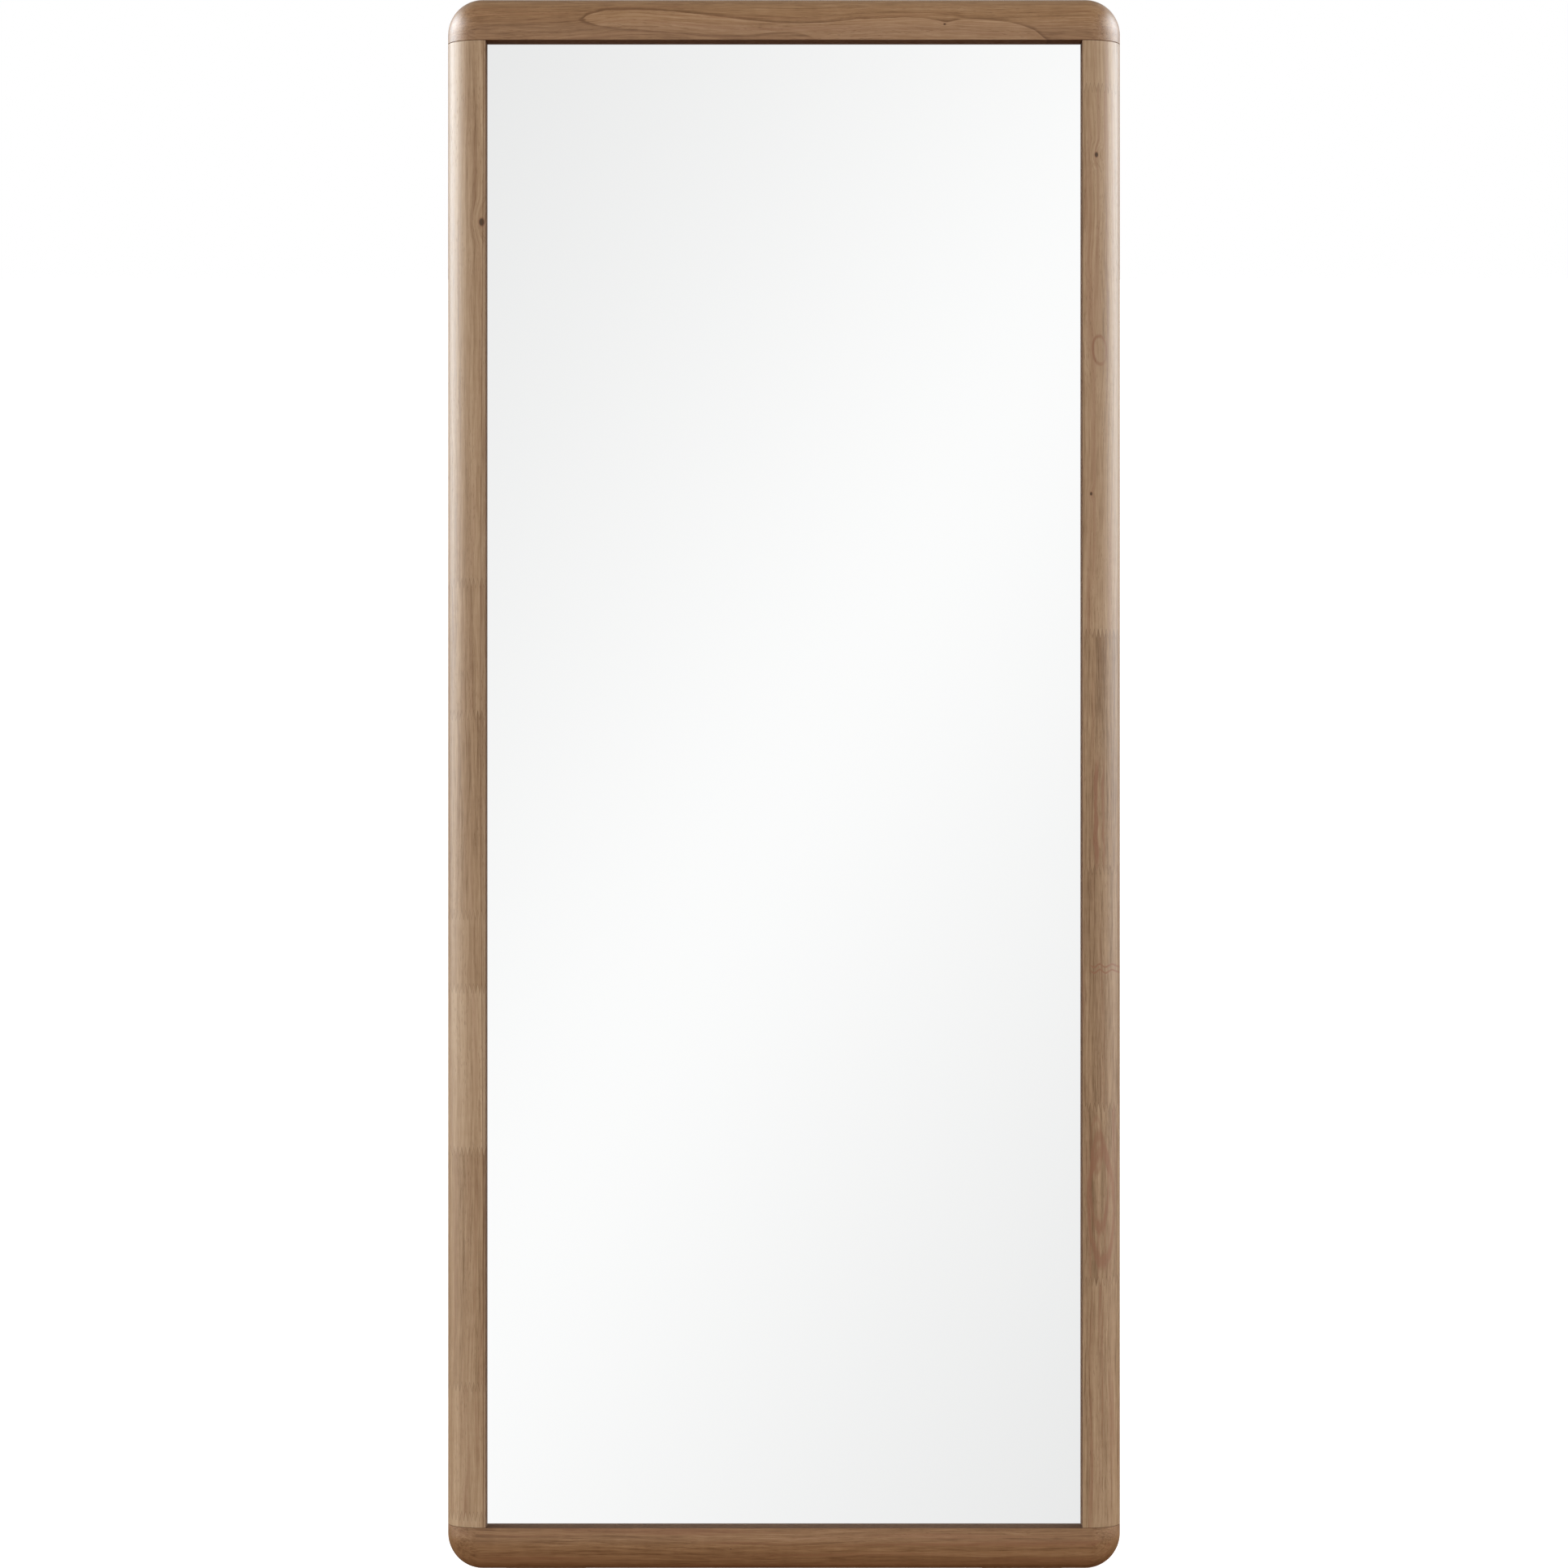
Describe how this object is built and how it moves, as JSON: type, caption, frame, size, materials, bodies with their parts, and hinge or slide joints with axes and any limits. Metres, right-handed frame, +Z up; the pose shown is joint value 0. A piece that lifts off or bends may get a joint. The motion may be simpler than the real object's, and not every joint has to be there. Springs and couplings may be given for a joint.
{
  "type": "cheval floor mirror",
  "caption": "Full-length floor mirror in a round-edged hardwood frame, leaning back on a folding wooden easel, with swinging rings for hanging it instead.",
  "frame": {"origin": "on the floor, midway across and midway from the frame's foremost edge to the back of the easel's boots", "axes": "+X to the viewer's right, +Y away from the viewer (the glass faces -Y and leans 9 degrees back), +Z up"},
  "size_m": [0.762, 0.402, 1.7596],
  "materials": {
    "frame_wood": "light-brown rubberwood, satin lacquer, finger-jointed stiles",
    "easel_wood": "light-brown rubberwood, satin lacquer",
    "bead_wood": "plain rubberwood, sanded",
    "dowel_wood": "beech, fluted",
    "silvered_glass": "flat silvered float glass, polished edges",
    "foam_tape": "closed-cell foam",
    "fibreboard": "6 mm fibreboard, smooth face",
    "zinc_plate": "zinc plated pressed steel",
    "screw_steel": "zinc plated",
    "bolt_steel": "zinc plated",
    "bright_steel": "bright steel",
    "bush_brass": "turned",
    "spacer_nylon": "natural nylon",
    "boot_rubber": "moulded, matt",
    "foot_rubber": "moulded, matt",
    "bumper_rubber": "moulded, matt",
    "hanger_steel": "nickel plated",
    "ring_steel": "nickel plated wire"
  },
  "bodies": {
    "frame": {"top_rail": "frame_wood", "bottom_rail": "frame_wood", "left_stile": "frame_wood", "right_stile": "frame_wood", "corner_dowels": "dowel_wood", "mirror_glass": "silvered_glass", "cushion_tape": "foam_tape", "backing_board": "fibreboard", "top_bead": "bead_wood", "bottom_bead": "bead_wood", "left_bead": "bead_wood", "right_bead": "bead_wood", "bead_pins": "bright_steel", "corner_braces": "zinc_plate", "corner_brace_screws": "screw_steel", "left_pivot_bracket": "zinc_plate", "right_pivot_bracket": "zinc_plate", "bracket_screws": "screw_steel", "pivot_bolts": "bolt_steel", "pivot_washers": "bolt_steel", "pivot_nuts": "bolt_steel", "leg_spacers": "spacer_nylon", "left_frame_foot": "foot_rubber", "right_frame_foot": "foot_rubber", "left_hanger_strap": "hanger_steel", "right_hanger_strap": "hanger_steel", "hanger_screws": "screw_steel", "fold_bumpers": "bumper_rubber"},
    "easel": {"left_leg": "easel_wood", "right_leg": "easel_wood", "upper_cross_rail": "easel_wood", "lower_cross_rail": "easel_wood", "left_leg_boot": "boot_rubber", "right_leg_boot": "boot_rubber", "leg_bushes": "bush_brass"},
    "left_ring": {"left_d_ring": "ring_steel"},
    "right_ring": {"right_d_ring": "ring_steel"}
  },
  "joints": [
    {"name": "easel_fold", "type": "hinge", "parent": "frame", "child": "easel", "pos_m": [0, 0.05376, 1.2334], "axis": [1, 0, 0], "range_deg": [-15, 0]},
    {"name": "left_ring_swing", "type": "hinge", "parent": "frame", "child": "left_ring", "pos_m": [-0.362, 0.07325, 1.46318], "axis": [1, 0, 0], "range_deg": [-8, 170]},
    {"name": "right_ring_swing", "type": "hinge", "parent": "frame", "child": "right_ring", "pos_m": [0.362, 0.07325, 1.46318], "axis": [1, 0, 0], "range_deg": [-8, 170]}
  ]
}
